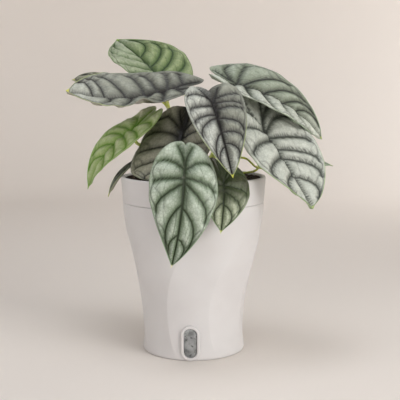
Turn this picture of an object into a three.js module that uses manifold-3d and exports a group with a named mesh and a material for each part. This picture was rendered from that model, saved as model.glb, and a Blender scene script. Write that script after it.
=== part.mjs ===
// Potted silver dragon alocasia: a white self-watering planter, its soil and twelve leaves on stems.
// Millimetres, +Z up. The origin is the centre of the pot's flat base, and the water window faces -Y.
import * as THREE from 'three';
import { mergeVertices } from 'three/addons/utils/BufferGeometryUtils.js';
import Module from 'manifold-3d';

const wasm = await Module();
wasm.setup();

// Driving dimensions
const gap = 0.3;             // clearance between neighbouring pieces
const potHeight = 170;       // base to rim
const footRadius = 49.9;     // outer pot near the base
const shoulderRadius = 68.4; // outer pot just under the collar
const rimRadius = 70;        // collar at the rim
const seamHeight = 145.6;    // underside of the collar, where the liner rests on the outer pot
const wall = 3.2;            // outer pot
const linerWall = 1.8;
const linerPlay = 1;         // between the liner and the outer pot's inside
const floorThickness = 3;
const linerFloor = 42;       // underside of the liner's floor, above the water
const soilHeight = 167.6;    // at the crown, where the stems rise
const soilRadius = 65.7;     // at the soil's surface
const collarFoot = 65.2;     // inside radius of the liner at the collar's foot
const footHole = 9.5;        // inside radius of the liner's wicking foot
const footMouth = 12.5;      // and where it opens into the liner's floor
const swell = [22, 152];     // heights between which the pot widens
const fluteCount = 8;
const fluteDepth = 1.6;
const fluteFoot = [1, 15];    // heights between which the flutes set in
const fluteFade = [100, 142]; // and run out
const columnsPerFlute = 8;
const crest = { angle: -70.5, bow: 15.5, straightFrom: 120, bowHeight: 43, bowReach: 53 };
const bezel = { width: 18, height: 33.6, centre: 17.1, face: 50.8 };
const pane = { width: 12.4, height: 28.2, thickness: 1.8, recess: 0.7 };
const bladeThickness = 0.75;
const ribThickness = 0.5;    // extra along the midrib
const quiltHeight = 1.7;     // how far the blade swells between its side veins
const veinPairs = 5;         // side veins on each half, in front of the stem
const lobeRows = 3;          // grid rows from a lobe's end to the notch
const bladeColumns = 4;      // grid columns on each half
const veinLean = { reach: 0.2, start: 0.35 }; // how side veins sweep towards the tip, and how early
const rippleShape = { crest: 0.05, hollow: 0.12, between: 0.17 }; // widths as shares of the blade
const stem = { root: 2.5, tip: 1.5, sides: 8, steps: 13, depth: 12 };

const materials = {
  pot: { color: 0xe9e7e6, roughness: 0.42, metalness: 0 },
  window: { color: 0xb9bbbc, roughness: 0.2, metalness: 0 },
  soil: { color: 0x2b2521, roughness: 0.95, metalness: 0 },
  silver: { color: 0x9fb09a, roughness: 0.5, metalness: 0 },
  green: { color: 0x6f9a55, roughness: 0.5, metalness: 0 },
  stem: { color: 0xb9c977, roughness: 0.45, metalness: 0 },
};

// Each leaf. seat is where stem and midrib meet; aim, pitch and roll turn the blade in degrees.
// Lengths run along the midrib from the seat: reach to the tip, lobe to the ends of the back lobes and
// notch to the cut between them. Pairs give the half on the right of the midrib first, seen tipwards.
// lobeShape is the roundness of the back lobes. twist turns the blade about its midrib by the tip and
// backTwist by the lobe ends. fold lifts a half, curl adds to the fold towards its margin, and ripple
// lifts the margin to a crest at phase, with a hollow behind it. root is the stem's place in the crown
// (angle, radius), stalk is its thickness and via are places that its path passes.
const leaves = {
  front: {
    seat: [-2.3, -89.8, 176.4], aim: -95, pitch: -70, roll: -18, reach: 81.6, lobe: 34.8, notch: 30.8,
    width: [31.3, 31.8], wideAt: 0.07, spread: 0.12, fullness: [1.2, 1.05], lobeShape: 0.5,
    bend: 38, backBend: 18, sweep: 4, twist: -13, backTwist: 6, fold: [2, 6], curl: [-38, -38],
    ripple: [0, 0], phase: 0, root: [-92, 14], run: 8, slant: 0, stalk: 1,
    via: [[3, -36, 175], [2, -60, 176.8]], skin: 'silver',
  },
  middle: {
    seat: [20.6, -47, 241.5], aim: -65, pitch: -50, roll: 10, reach: 77.5, lobe: 20, notch: 14,
    width: [26.5, 27.8], wideAt: 0.02, spread: 0.48, fullness: [0.88, 0.88], lobeShape: 0.5,
    bend: 16, backBend: 26, sweep: 0, twist: -7, backTwist: 2, fold: [25, 24], curl: [-42, -32],
    ripple: [0, 0], phase: 0, root: [-72, 6.5], run: 18, slant: 0, stalk: 1,
    via: [[26, -12, 199]], skin: 'silver',
  },
  small: {
    seat: [31.4, -69.1, 167.9], aim: -86, pitch: -65, roll: -16, reach: 43.8, lobe: 25.2, notch: 20.2,
    width: [23.2, 24.2], wideAt: 0.04, spread: 0.35, fullness: [1.1, 1.1], lobeShape: 0.5,
    bend: 20, backBend: 30, sweep: 1.5, twist: -17, backTwist: 10, fold: [24, 15], curl: [-20, -32],
    ripple: [0, 0], phase: 0, root: [-58, 14], run: 7, slant: 80, stalk: 1,
    via: [[18, -38, 180]], skin: 'silver',
  },
  right: {
    seat: [70.2, -8.5, 210.7], aim: -43, pitch: -47, roll: -4, reach: 88, lobe: 46.5, notch: 37.4,
    width: [41.5, 47], wideAt: 0.21, spread: 0.25, fullness: [0.95, 0.72], lobeShape: 0.5,
    bend: 3, backBend: -12, sweep: 1, twist: -6, backTwist: 3, fold: [21, 16], curl: [-45, 2],
    ripple: [0, 0], phase: 0, root: [-25, 14], run: 14, slant: 0, stalk: 0.6,
    via: [[46, 4, 171.8], [62, 6, 176.2]], skin: 'silver',
  },
  upper_right: {
    seat: [45.9, 16.1, 256.7], aim: 2, pitch: -14, roll: 29, reach: 103.2, lobe: 34.4, notch: 6.1,
    width: [33.9, 32.9], wideAt: 0.1, spread: 0.45, fullness: [0.6, 0.85], lobeShape: 0.65,
    bend: 46, backBend: -8, sweep: -4, twist: -10, backTwist: 18, fold: [14, 21], curl: [0, -10],
    ripple: [0, 0], phase: 0, root: [-3, 6.5], run: 40, slant: 0, stalk: 1,
    via: [], skin: 'silver',
  },
  shade: {
    seat: [-11.5, -9.5, 208.3], aim: -102, pitch: -45, roll: 9, reach: 66, lobe: 38, notch: 35,
    width: [48, 38], wideAt: 0.4, spread: 0.22, fullness: [0.65, 0.65], lobeShape: 0.5,
    bend: -15, backBend: -8, sweep: -2, twist: 0, backTwist: 0, fold: [8, 14], curl: [-28, -8],
    ripple: [0, 0], phase: 0, root: [-138, 6.5], run: 16, slant: 0, stalk: 1,
    via: [], skin: 'silver',
  },
  green_left: {
    seat: [-62, 5, 214], aim: -158, pitch: -31, roll: -7, reach: 73, lobe: 36, notch: 25,
    width: [28, 28], wideAt: 0.06, spread: 0.36, fullness: [1.15, 1.15], lobeShape: 0.5,
    bend: 46, backBend: -6, sweep: 1, twist: 12, backTwist: -5, fold: [17, 13], curl: [-22, -42],
    ripple: [0, 0], phase: 0, root: [179, 14], run: 14, slant: 0, stalk: 1,
    via: [[-23, 5, 187], [-38, 14, 199]], skin: 'green',
  },
  long_left: {
    seat: [-28, 4, 251.5], aim: 192, pitch: -16, roll: -28, reach: 97, lobe: 41, notch: 13,
    width: [36, 27], wideAt: 0.48, spread: 0.28, fullness: [0.8, 0.7], lobeShape: 1.1,
    bend: -37, backBend: 27, sweep: -1, twist: 6, backTwist: 8, fold: [19, 14], curl: [-12, 0],
    ripple: [0, 7], phase: 0.32, root: [165, 6.5], run: 6, slant: 0, stalk: 1,
    via: [[-12, 19, 195], [-23, 27, 225], [-27, 19, 241]], skin: 'silver',
  },
  top_green: {
    seat: [-42.8, 62, 269.9], aim: 131, pitch: 34, roll: -3, reach: 80, lobe: 31.5, notch: 20,
    width: [42.2, 45], wideAt: 0.15, spread: 0.33, fullness: [1.15, 1.15], lobeShape: 0.5,
    bend: 13, backBend: 9, sweep: -2, twist: 12, backTwist: -5, fold: [15, 14], curl: [3, -6],
    ripple: [0, 0], phase: 0, root: [100, 6.5], run: 8, slant: 0, stalk: 1,
    via: [[-4, 26, 200], [-6, 50, 238], [-20, 68, 254]], skin: 'green',
  },
  left_back: {
    seat: [-55, 37, 256], aim: 204, pitch: 15, roll: -18, reach: 70, lobe: 29, notch: 18,
    width: [28, 32], wideAt: 0.1, spread: 0.39, fullness: [0.88, 0.88], lobeShape: 0.5,
    bend: 21, backBend: 9, sweep: 0, twist: 16, backTwist: -7, fold: [9, 4], curl: [-40, -36],
    ripple: [0, 0], phase: 0, root: [146, 14], run: 8, slant: 0, stalk: 1,
    via: [[-16, 28, 200], [-32, 37, 240]], skin: 'silver',
  },
  low_left: {
    seat: [-46.2, 8.5, 188.1], aim: 203, pitch: -14, roll: 2, reach: 58, lobe: 14, notch: 9,
    width: [11, 11], wideAt: 0.07, spread: 0.4, fullness: [1.1, 1.1], lobeShape: 0.5,
    bend: 60, backBend: 10, sweep: 0, twist: 6, backTwist: -2, fold: [13, 11], curl: [-33, -30],
    ripple: [0, 0], phase: 0, root: [210, 14], run: 10, slant: 0, stalk: 1,
    via: [], skin: 'silver',
  },
  right_back: {
    seat: [94, 17, 183], aim: -4.5, pitch: 8, roll: 8, reach: 42.5, lobe: 9, notch: 6,
    width: [12, 12], wideAt: 0.04, spread: 0.38, fullness: [1.13, 1.13], lobeShape: 0.5,
    bend: 28, backBend: 0, sweep: 0, twist: -4, backTwist: 1, fold: [10, 13], curl: [-30, -20],
    ripple: [0, 0], phase: 0, root: [15, 14], run: 10, slant: 75, stalk: 0.6,
    via: [[32, 14, 185], [50.4, 19, 185.2], [55.8, 20.5, 181], [61, 21.5, 176.6]], skin: 'silver',
  },
};

const { clamp, degToRad, lerp, smoothstep } = THREE.MathUtils;

// Solids

// Triangles of points become one closed geometry with shared vertices and no empty faces.
function closed(triangles) {
  const flat = new THREE.BufferGeometry().setFromPoints(triangles.flat());
  const merged = mergeVertices(flat, 1e-3);
  const kept = [];
  for (let i = 0; i < merged.index.count; i += 3) {
    const face = [merged.index.getX(i), merged.index.getX(i + 1), merged.index.getX(i + 2)];
    if (new Set(face).size === 3) kept.push(...face);
  }
  merged.setIndex(kept);
  return merged;
}

function manifold(geometry) {
  const bare = geometry.clone();
  bare.deleteAttribute('normal');
  bare.deleteAttribute('uv');
  const merged = mergeVertices(bare, 1e-3);
  const vertProperties = new Float32Array(merged.attributes.position.array);
  const triVerts = new Uint32Array(merged.index.array);
  return new wasm.Manifold(new wasm.Mesh({ numProp: 3, vertProperties, triVerts }));
}

function geometryOf(solid) {
  const { vertProperties, triVerts } = solid.getMesh();
  const geometry = new THREE.BufferGeometry();
  geometry.setAttribute('position', new THREE.BufferAttribute(new Float32Array(vertProperties), 3));
  geometry.setIndex(new THREE.BufferAttribute(new Uint32Array(triVerts), 1));
  return geometry;
}

// A profile of (radius, height) points turned about Z, closed on the axis at both ends.
function turned(profile, segments) {
  const points = profile.map(([radius, height]) => new THREE.Vector2(radius, height));
  return new THREE.LatheGeometry(points, segments).rotateX(Math.PI / 2);
}

// An upright obround plate facing -Y, from its front face back to a depth.
function obround(width, height, centre, front, back) {
  const radius = width / 2;
  const straight = height / 2 - radius;
  const shape = new THREE.Shape();
  shape.absarc(0, straight, radius, 0, Math.PI);
  shape.absarc(0, -straight, radius, Math.PI, 2 * Math.PI);
  const settings = { depth: front - back, bevelEnabled: false, curveSegments: 10 };
  return new THREE.ExtrudeGeometry(shape, settings).rotateX(Math.PI / 2).translate(0, -back, centre);
}

// Pot

// Outside radius at a height: narrow foot, wide shoulder and a smooth swell between them.
const potRadius = (z) => lerp(footRadius, shoulderRadius, smoothstep(z, ...swell));
const insideRadius = (z) => potRadius(z) - wall;
const linerRadius = (z) => insideRadius(z) - linerPlay;

// The crests between flutes bow to the left, furthest at bowHeight, and fade out under the collar.
function crestAngle(z) {
  const away = (Math.min(z, crest.straightFrom) - crest.bowHeight) / crest.bowReach;
  return crest.angle + crest.bow * away ** 2;
}

function fluteInset(phase, z) {
  const fade = smoothstep(z, ...fluteFoot) * (1 - smoothstep(z, ...fluteFade));
  return fluteDepth * Math.sin(Math.PI * phase) * fade;
}

function outerPot() {
  const top = seamHeight - gap;
  const columns = fluteCount * columnsPerFlute;
  const outside = [0, 0.9, 3, 12, 24, 36, 48, 60, 72, 84, 96, 108, 120, 132, top - 1, top];
  const edgeInset = { 0: 1.6, 0.9: 0.5, [top]: 0.8 };
  const rows = outside.map((z) => ({ z, radius: potRadius(z) - (edgeInset[z] ?? 0), fluted: true }));
  for (const z of [top, 118, 92, 62, 32, floorThickness]) {
    rows.push({ z, radius: insideRadius(z), fluted: false });
  }
  const ring = ({ z, radius, fluted }) => Array.from({ length: columns }, (_, k) => {
    const phase = (k % columnsPerFlute) / columnsPerFlute;
    const angle = degToRad(crestAngle(z) + (360 * k) / columns);
    const r = radius - (fluted ? fluteInset(phase, z) : 0);
    return new THREE.Vector3(r * Math.cos(angle), r * Math.sin(angle), z);
  });
  const rings = rows.map(ring);
  const triangles = [];
  rings.slice(1).forEach((upper, i) => {
    const lower = rings[i];
    lower.forEach((a, k) => {
      const b = lower[(k + 1) % columns];
      const c = upper[(k + 1) % columns];
      triangles.push([a, b, c], [a, c, upper[k]]);
    });
  });
  const base = new THREE.Vector3(0, 0, 0);
  const floor = new THREE.Vector3(0, 0, floorThickness);
  rings[0].forEach((a, k) => triangles.push([base, rings[0][(k + 1) % columns], a]));
  const last = rings[rings.length - 1];
  last.forEach((a, k) => triangles.push([floor, a, last[(k + 1) % columns]]));

  const shell = manifold(closed(triangles));
  const inside = insideRadius(bezel.centre);
  const frame = manifold(obround(bezel.width, bezel.height, bezel.centre, bezel.face, inside + 1));
  const opening = manifold(obround(pane.width, pane.height, bezel.centre, bezel.face + 5, inside - 5));
  return geometryOf(shell.add(frame).subtract(opening));
}

function levelWindow() {
  const front = bezel.face - pane.recess;
  return obround(pane.width - 2 * gap, pane.height - 2 * gap, bezel.centre, front, front - pane.thickness);
}

// The liner's inside profile from the rim down to the bottom of its wicking foot.
function linerInside(clearance) {
  const levels = [138, 110, 80, linerFloor + linerWall + clearance];
  return [
    ...levels.map((z) => [linerRadius(z) - linerWall - clearance, z]),
    [footMouth - clearance, linerFloor + linerWall + clearance],
    [footHole - clearance, floorThickness + gap + linerWall + clearance],
    [0, floorThickness + gap + linerWall + clearance],
  ];
}

function innerPot() {
  const foot = floorThickness + gap;
  const walls = [linerFloor, 80, 110, 138, seamHeight].map((z) => [linerRadius(z), z]);
  const skirt = [[footHole + linerWall, foot], [footMouth + linerWall, linerFloor]];
  const collar = [
    [shoulderRadius - 0.9, seamHeight], [shoulderRadius - 0.2, seamHeight + 0.8],
    [rimRadius - 0.1, potHeight - 1.6], [rimRadius - 0.4, potHeight - 0.5],
    [rimRadius - 1.3, potHeight], [rimRadius - 2.4, potHeight],
    [rimRadius - 3.3, potHeight - 0.4], [rimRadius - 3.7, potHeight - 1.5],
    [collarFoot, seamHeight + 6],
  ];
  return turned([[0, foot], ...skirt, ...walls, ...collar, ...linerInside(0)], 56);
}

function soil(stems) {
  const inside = linerInside(gap).reverse();
  const rises = [[soilRadius, -0.6], [40, 0.3], [18, 0.8], [0, 1]];
  const mound = rises.map(([radius, rise]) => [radius, soilHeight + rise]);
  const body = manifold(turned([...inside, [collarFoot - gap - 0.2, seamHeight + 6], ...mound], 48));
  return geometryOf(stems.reduce((rest, hole) => rest.subtract(manifold(hole)), body));
}

// Leaves

// Directions of a blade at its seat: along the midrib, across it and up from it.
function bladeAxes({ aim, pitch, roll }) {
  const [a, p] = [degToRad(aim), degToRad(pitch)];
  const along = new THREE.Vector3(Math.cos(p) * Math.cos(a), Math.cos(p) * Math.sin(a), Math.sin(p));
  const across = new THREE.Vector3(Math.sin(a), -Math.cos(a), 0);
  const up = new THREE.Vector3().crossVectors(across, along);
  across.applyAxisAngle(along, degToRad(roll));
  up.applyAxisAngle(along, degToRad(roll));
  return { along, across, up };
}

// Flat outline: distance s along the midrib and t away from it, for u from lobe end to tip and v from
// the midrib (or the notch's edge) to the margin.
function bladeFlat(leaf, u, v, half) {
  const { reach, lobe, notch, wideAt } = leaf;
  const width = leaf.width[half];
  const length = reach + lobe;
  const lean = veinLean.reach * length * Math.sin(Math.PI * u) * v * lerp(veinLean.start, 1, v);
  const s = clamp(-lobe + u * length + lean, -lobe, reach);
  const widest = wideAt * reach;
  const spread = leaf.spread * width;
  const ahead = clamp((reach - s) / (reach - widest), 0, 1);
  const behind = clamp((widest - s) / (widest + lobe), 0, 1);
  const outer = s >= widest
    ? width * Math.sin(ahead * Math.PI / 2) ** leaf.fullness[half]
    : spread + (width - spread) * (1 - behind ** 2) ** leaf.lobeShape;
  const past = clamp((-notch - s) / (lobe - notch), 0, 1);
  const inner = spread * (1 - Math.sqrt(1 - past ** 2));
  return { s, t: inner + (outer - inner) * v };
}

// The flat point carried onto the bent, twisted, folded and quilted blade, and the normal there.
function bladePoint(leaf, u, v, half) {
  const { reach, lobe } = leaf;
  const { along, across, up } = bladeAxes(leaf);
  const { s, t } = bladeFlat(leaf, u, v, half);
  const side = half === 0 ? 1 : -1;
  const length = s >= 0 ? reach : -lobe;
  const arc = degToRad(s >= 0 ? leaf.bend : -leaf.backBend) || 1e-4;
  const angle = arc * s / length;
  const point = new THREE.Vector3(...leaf.seat)
    .addScaledVector(along, length / arc * Math.sin(angle))
    .addScaledVector(up, -length / arc * (1 - Math.cos(angle)))
    .addScaledVector(across, s > 0 ? leaf.sweep * (s / reach) ** 2 : 0);
  const lift = up.clone().multiplyScalar(Math.cos(angle)).addScaledVector(along, Math.sin(angle));
  const twist = degToRad(s >= 0 ? leaf.twist * s / reach : -leaf.backTwist * s / lobe);
  const out = across.clone().multiplyScalar(Math.cos(twist)).addScaledVector(lift, Math.sin(twist));
  const normal = lift.multiplyScalar(Math.cos(twist)).addScaledVector(across, -Math.sin(twist));
  const share = t / leaf.width[half];
  const fold = degToRad(leaf.fold[half] + 0.5 * leaf.curl[half] * share);
  const rise = Math.exp(-(((u - leaf.phase) / rippleShape.crest) ** 2));
  const dip = Math.exp(-(((u - leaf.phase + rippleShape.between) / rippleShape.hollow) ** 2));
  const wave = leaf.ripple[half] * share ** 2 * (rise - dip);
  const notchRow = (leaf.lobe - leaf.notch) / (leaf.lobe + leaf.reach);
  const cell = u >= notchRow ? veinPairs * (u - notchRow) / (1 - notchRow) : u / notchRow;
  const quilt = quiltHeight * Math.sin(Math.PI * cell) ** 2 * Math.sin(Math.PI * v ** 0.8);
  point.addScaledVector(out, side * t * Math.cos(fold));
  point.addScaledVector(normal, t * Math.sin(fold) + wave + quilt);
  const tilt = degToRad(leaf.fold[half] + leaf.curl[half] * share) * clamp(t / 4, 0, 1);
  const face = normal.clone().multiplyScalar(Math.cos(tilt)).addScaledVector(out, -side * Math.sin(tilt));
  return { point, face };
}

// A blade is two halves of one grid. They share the midrib in front of the notch, and both faces are
// split into triangles alike.
function blade(leaf) {
  const notchRow = (leaf.lobe - leaf.notch) / (leaf.lobe + leaf.reach);
  const bodyRows = 2 * veinPairs;
  const rows = [];
  for (let i = 0; i < lobeRows; i += 1) rows.push(notchRow * i / lobeRows);
  for (let i = 0; i <= bodyRows; i += 1) rows.push(lerp(notchRow, 1, i / bodyRows));
  const triangles = [];
  for (const half of [0, 1]) {
    const add = half === 0
      ? (a, b, c) => triangles.push([a, b, c])
      : (a, b, c) => triangles.push([a, c, b]);
    const grid = rows.map((u) => Array.from({ length: bladeColumns + 1 }, (_, j) => {
      const v = j / bladeColumns;
      const { point, face } = bladePoint(leaf, u, v, half);
      const rib = ribThickness * Math.max(0, 1 - 3 * v) * Math.sin(Math.PI * u) ** 0.5;
      return { top: point, under: point.clone().addScaledVector(face, -bladeThickness - rib) };
    }));
    for (let i = 0; i + 1 < rows.length; i += 1) {
      for (let j = 0; j < bladeColumns; j += 1) {
        const [a, b, c, d] = [grid[i][j], grid[i][j + 1], grid[i + 1][j + 1], grid[i + 1][j]];
        add(a.top, b.top, c.top);
        add(a.top, c.top, d.top);
        add(a.under, c.under, b.under);
        add(a.under, d.under, c.under);
      }
      const [e, f] = [grid[i][bladeColumns], grid[i + 1][bladeColumns]];
      add(e.under, f.under, e.top);
      add(e.top, f.under, f.top);
      if (i < lobeRows) {
        const [g, h] = [grid[i][0], grid[i + 1][0]];
        add(g.under, g.top, h.under);
        add(g.top, h.top, h.under);
      }
    }
  }
  return closed(triangles);
}

// A stem rises from the crown, bends out and meets the underside of its blade.
function stemPath(leaf) {
  const { along, up } = bladeAxes(leaf);
  const [turn, radius] = leaf.root;
  const root = new THREE.Vector3(radius, 0, soilHeight);
  root.applyAxisAngle(new THREE.Vector3(0, 0, 1), degToRad(turn));
  const foot = root.clone().setZ(soilHeight - stem.depth);
  const slant = degToRad(leaf.slant);
  const arrival = up.clone().multiplyScalar(Math.cos(slant)).addScaledVector(along, Math.sin(slant));
  const clear = bladeThickness + ribThickness + gap + leaf.stalk * stem.tip * Math.sin(slant);
  const end = new THREE.Vector3(...leaf.seat).addScaledVector(up, -clear);
  const before = end.clone().addScaledVector(arrival, -leaf.run);
  const via = leaf.via.map((place) => new THREE.Vector3(...place));
  return new THREE.CatmullRomCurve3([foot, root, ...via, before, end], false, 'centripetal');
}

function stemSolid(leaf, clearance) {
  const path = stemPath(leaf);
  const circle = Array.from({ length: stem.sides }, (_, k) => {
    const angle = 2 * Math.PI * k / stem.sides;
    return new THREE.Vector2(Math.cos(angle), Math.sin(angle));
  });
  const tube = new THREE.ExtrudeGeometry(new THREE.Shape(circle), { extrudePath: path, steps: stem.steps });
  const centres = path.getSpacedPoints(stem.steps);
  const position = tube.attributes.position;
  const vertex = new THREE.Vector3();
  for (let i = 0; i < position.count; i += 1) {
    vertex.fromBufferAttribute(position, i);
    const distances = centres.map((centre) => centre.distanceTo(vertex));
    const step = distances.indexOf(Math.min(...distances));
    const radius = leaf.stalk * lerp(stem.root, stem.tip, smoothstep(step, 0, stem.steps)) + clearance;
    vertex.sub(centres[step]).multiplyScalar(radius).add(centres[step]);
    position.setXYZ(i, vertex.x, vertex.y, vertex.z);
  }
  return tube;
}

// Assembly

const group = new THREE.Group();

function addPiece(name, geometry, material) {
  const mesh = new THREE.Mesh(geometry, new THREE.MeshStandardMaterial(materials[material]));
  mesh.name = name;
  group.add(mesh);
}

addPiece('outer_pot', outerPot(), 'pot');
addPiece('inner_pot', innerPot(), 'pot');
addPiece('level_window', levelWindow(), 'window');
addPiece('soil', soil(Object.values(leaves).map((leaf) => stemSolid(leaf, gap))), 'soil');
for (const [name, leaf] of Object.entries(leaves)) {
  addPiece(`leaf_${name}`, blade(leaf), leaf.skin);
  addPiece(`stem_${name}`, stemSolid(leaf, 0), 'stem');
}

export default group;
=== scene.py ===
# Potted silver dragon alocasia: white self-watering planter, potting mix and twelve leaves on stems.
# Metres in the scene. Shapes are worked out in millimetres and turned to metres when a mesh is made.
from math import cos, pi, radians, sin

import bpy
import numpy as np
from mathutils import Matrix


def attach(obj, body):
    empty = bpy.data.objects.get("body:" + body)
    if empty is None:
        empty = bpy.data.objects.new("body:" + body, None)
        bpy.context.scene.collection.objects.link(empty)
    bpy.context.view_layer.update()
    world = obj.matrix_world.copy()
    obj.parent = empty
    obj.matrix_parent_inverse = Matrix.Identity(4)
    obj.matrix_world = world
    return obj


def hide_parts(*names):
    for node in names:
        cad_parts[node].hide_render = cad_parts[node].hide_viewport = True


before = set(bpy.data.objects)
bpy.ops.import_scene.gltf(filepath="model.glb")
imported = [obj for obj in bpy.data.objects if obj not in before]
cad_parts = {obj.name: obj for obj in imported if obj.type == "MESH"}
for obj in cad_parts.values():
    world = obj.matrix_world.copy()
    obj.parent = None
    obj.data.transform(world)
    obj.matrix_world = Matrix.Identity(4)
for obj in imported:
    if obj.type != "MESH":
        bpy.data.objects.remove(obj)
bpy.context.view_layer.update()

print("frame loaded:", len(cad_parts), "nodes")


# Numbers and noise

# 0 below low, 1 above high, and a cubic ease between them.
def ease(x, low, high):
    x = np.clip((np.asarray(x, float) - low) / (high - low), 0, 1)
    return x * x * (3 - 2 * x)


# Value noise from -1 to 1: seeded heights at whole coordinates, eased in between.
def wobble(x, y, seed):
    heights = np.random.default_rng(seed).uniform(-1, 1, (64, 64))
    column, row = np.floor(x).astype(int), np.floor(y).astype(int)
    across, up = ease(x - column, 0, 1), ease(y - row, 0, 1)

    def alongRow(row):
        return heights[row % 64, column % 64] * (1 - across) + heights[row % 64, (column + 1) % 64] * across

    return alongRow(row) * (1 - up) + alongRow(row + 1) * up


# Meshes

# Triangles over a grid of rows by columns whose first vertex is number start.
def gridTriangles(rows, columns, start=0, wrap=False, flip=False):
    index = np.arange(rows * columns).reshape(rows, columns) + start
    if wrap:
        index = np.hstack([index, index[:, :1]])
    a, b = index[:-1, :-1].ravel(), index[:-1, 1:].ravel()
    c, d = index[1:, 1:].ravel(), index[1:, :-1].ravel()
    triangles = np.concatenate([np.stack([a, b, c], 1), np.stack([a, c, d], 1)])
    return triangles[:, ::-1] if flip else triangles


# Vertices in the same thousandth of a millimetre become one, which closes seams and poles, and
# triangles that lose their area there are left out. Gives the kept vertices' numbers and the triangles.
def weld(points, triangles):
    keys = np.round(points * 1000).astype(np.int64)
    _, first, same = np.unique(keys, axis=0, return_index=True, return_inverse=True)
    triangles = same.reshape(-1)[triangles]
    a, b, c = triangles.T
    return first, triangles[(a != b) & (b != c) & (c != a)]


# A mesh in metres from points in millimetres, with values stored at its vertices.
def makeObject(name, points, triangles, values=None):
    first, triangles = weld(points, triangles)
    mesh = bpy.data.meshes.new(name)
    mesh.from_pydata((points[first] / 1000).tolist(), [], triangles.tolist())
    mesh.polygons.foreach_set("use_smooth", np.ones(len(triangles), bool))
    for key, value in (values or {}).items():
        layer = mesh.attributes.new(key, "FLOAT", "POINT")
        layer.data.foreach_set("value", np.ascontiguousarray(value[first], dtype=np.float32))
    mesh.update()
    piece = bpy.data.objects.new(name, mesh)
    bpy.context.scene.collection.objects.link(piece)
    return piece


# A piece of the plant or planter: its mesh, finish and the CAD nodes that it stands for. Its record slot,
# slotName, is not used.
def makePiece(name, points, triangles, material, slotName, nodes=(), values=None):
    piece = makeObject(name, points, triangles, values)
    piece.data.materials.append(material)
    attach(piece, "root")
    if nodes:
        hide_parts(*nodes)
    return piece


# A profile of (radius, height) turned about Z. It starts and ends on the axis, and its points run so
# that the outside lies on their right.
def turned(profile, segments):
    radius, height = np.array(profile, float).T
    angle = np.linspace(0, 2 * pi, segments, endpoint=False)
    x, y = np.outer(radius, np.cos(angle)), np.outer(radius, np.sin(angle))
    z = np.repeat(height[:, None], segments, 1)
    points = np.stack([x, y, z], -1).reshape(-1, 3)
    return points, gridTriangles(len(profile), segments, wrap=True)


# Rounds the corners of an open profile. Each one becomes a quadratic curve that starts and ends at
# most size from the corner, and leaves a tenth of each side straight.
def rounded(profile, size, steps=4, most=0.45):
    path = [np.array(profile[0], float)]
    for before, corner, after in zip(profile, profile[1:], profile[2:]):
        before, corner, after = (np.array(p, float) for p in (before, corner, after))
        back, ahead = before - corner, after - corner
        cut = min(size, most * np.linalg.norm(back), most * np.linalg.norm(ahead))
        start = corner + back / np.linalg.norm(back) * cut
        end = corner + ahead / np.linalg.norm(ahead) * cut
        for p in np.linspace(0, 1, steps):
            path.append((1 - p) ** 2 * start + 2 * p * (1 - p) * corner + p ** 2 * end)
    path.append(np.array(profile[-1], float))
    return path


# Materials

# A hex colour as sRGB, turned to the linear values that shaders read.
def linear(hexColour):
    parts = [int(hexColour[i:i + 2], 16) / 255 for i in (1, 3, 5)]
    return tuple(c / 12.92 if c <= 0.04045 else ((c + 0.055) / 1.055) ** 2.4 for c in parts) + (1,)


# Adds a node with its settings. An input gets a number, a hex colour, another node's output, or a node,
# which stands for its first output.
def addNode(tree, kind, settings=None, inputs=None):
    node = tree.nodes.new(kind)
    for key, value in (settings or {}).items():
        setattr(node, key, value)
    for key, value in (inputs or {}).items():
        if isinstance(value, bpy.types.Node):
            value = value.outputs[0]
        if isinstance(value, bpy.types.NodeSocket):
            tree.links.new(value, node.inputs[key])
        else:
            node.inputs[key].default_value = linear(value) if isinstance(value, str) else value
    return node


def newMaterial(name):
    material = bpy.data.materials.new(name)
    material.use_nodes = True
    material.node_tree.nodes.clear()
    return material, material.node_tree


def finishMaterial(tree, inputs):
    shader = addNode(tree, "ShaderNodeBsdfPrincipled", None, inputs)
    addNode(tree, "ShaderNodeOutputMaterial", None, {"Surface": shader})


# A tone laid over a colour where a pattern is: none of it where the pattern has its first value, and
# most of it where it has the second. The pattern is a node, or the name of a value at the vertices.
def toned(tree, colour, tone, pattern, none=0.0, full=1.0, most=1.0):
    if isinstance(pattern, str):
        pattern = addNode(tree, "ShaderNodeAttribute", {"attribute_name": pattern}).outputs["Fac"]
    share = addNode(tree, "ShaderNodeMapRange", {"clamp": True},
                    {"Value": pattern, "From Min": none, "From Max": full, "To Max": most})
    return addNode(tree, "ShaderNodeMix", {"data_type": "RGBA"}, {0: share, 6: colour, 7: tone}).outputs[2]


# Leaves

# seat is where stem and midrib meet; aim, pitch and roll turn the blade in degrees. Lengths run along
# the midrib from the seat: reach to the tip, lobe to the ends of the back lobes, notch to the cut
# between them. Pairs give the half on the right of the midrib first, seen tipwards. fullness rounds the
# outline in front of its widest place and lobeShape behind it, and drip is the length of the drip tip.
# bend and backBend lower the tip and the lobes. twist turns the blade about its midrib by the tip and
# backTwist by the lobe ends. fold lifts a half, curl adds to the fold towards its margin, and ripple
# lifts the margin to a crest at phase, with a hollow behind it. root is the stem's place in the crown
# (angle, radius), stalk its thickness and via places that its path passes. It reaches the blade in a
# straight run, square to it or tipped by slant. sideVeins gives each half's side veins as shares of
# reach where they leave the midrib and where they meet the margin's vein. lobeVein is how far out the
# vein of a back lobe ends, and how late it bends there. tintAndPaintedLight is each half's share of its
# skin's second tone, and where along the reach that fades out. It is a real tint on most leaves, painted
# shade on some and a painted highlight on green_left's far lobe, as each leaf's entry says.
# What most leaves have in common.
usual = dict(sweep=0, drip=5, lobeShape=0.5, ripple=(0, 0), phase=0, slant=0, stalk=1, via=[],
             lobeVein=(0.42, 1.3), tintAndPaintedLight=(0, 0, 0.45, 1.1))
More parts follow.
